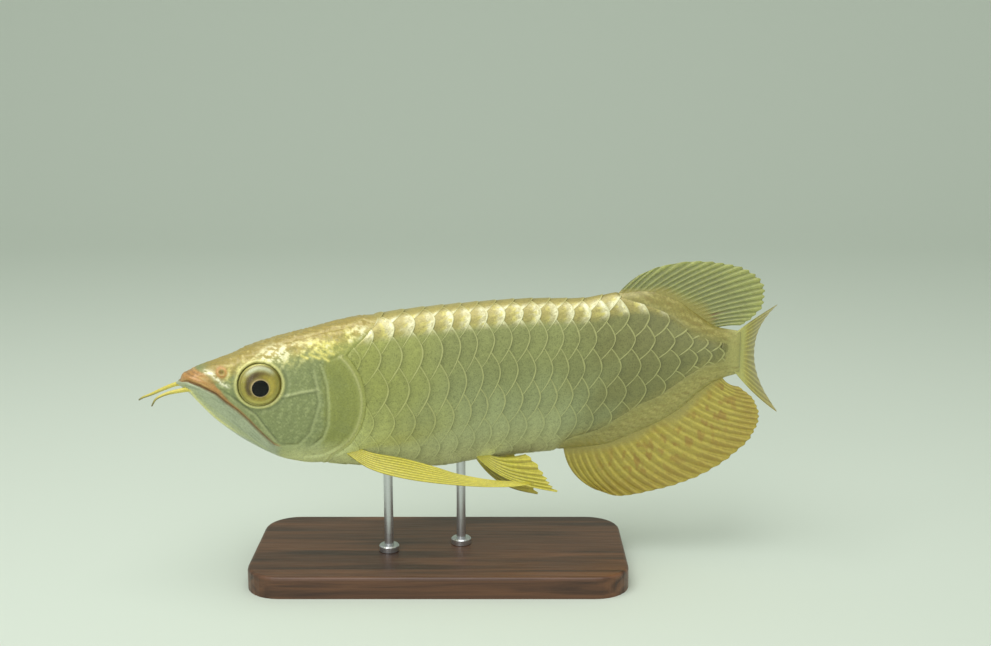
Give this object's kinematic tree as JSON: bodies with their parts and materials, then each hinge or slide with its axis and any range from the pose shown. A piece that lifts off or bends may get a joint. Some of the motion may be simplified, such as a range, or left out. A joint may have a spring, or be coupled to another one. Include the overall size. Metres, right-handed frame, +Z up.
{
  "type": "asian arowana display model",
  "caption": "Life-size still model of an Asian arowana swimming, tail swept to its right, held on two short rods above a flat base.",
  "frame": {"origin": "centre of the display stand's underside, on the floor", "axes": "-X the way the fish faces, -Y its left side, which the picture shows, +Z up"},
  "size_m": [0.4064, 0.1353, 0.2],
  "materials": {
    "skin": "olive-gold scaled skin with a soft metallic sheen, satin",
    "gill_cover": "yellow-olive bony plate skin, satin",
    "fin": "golden olive rayed membrane, translucent, satin",
    "paired_fin": "bright yellow rayed membrane, translucent, satin",
    "eye": "black pupil in a gold-brown iris under a clear cornea, gloss",
    "barbel": "pale yellow with a grey tip, satin",
    "stand_wood": "dark oiled wood, satin",
    "stand_steel": "brushed"
  },
  "bodies": {
    "root": {"head": "skin", "lower_jaw": "skin", "gill_cover_left": "gill_cover", "gill_cover_right": "gill_cover", "trunk": "skin", "tail": "skin", "dorsal_fin": "fin", "anal_fin": "fin", "caudal_fin": "fin", "pectoral_fin_left": "paired_fin", "pectoral_fin_right": "paired_fin", "pelvic_fin_left": "paired_fin", "pelvic_fin_right": "paired_fin", "eye_left": "eye", "eye_right": "eye", "barbel_left": "barbel", "barbel_right": "barbel", "stand_base": "stand_wood", "stand_rod_front": "stand_steel", "stand_rod_rear": "stand_steel"}
  },
  "joints": []
}
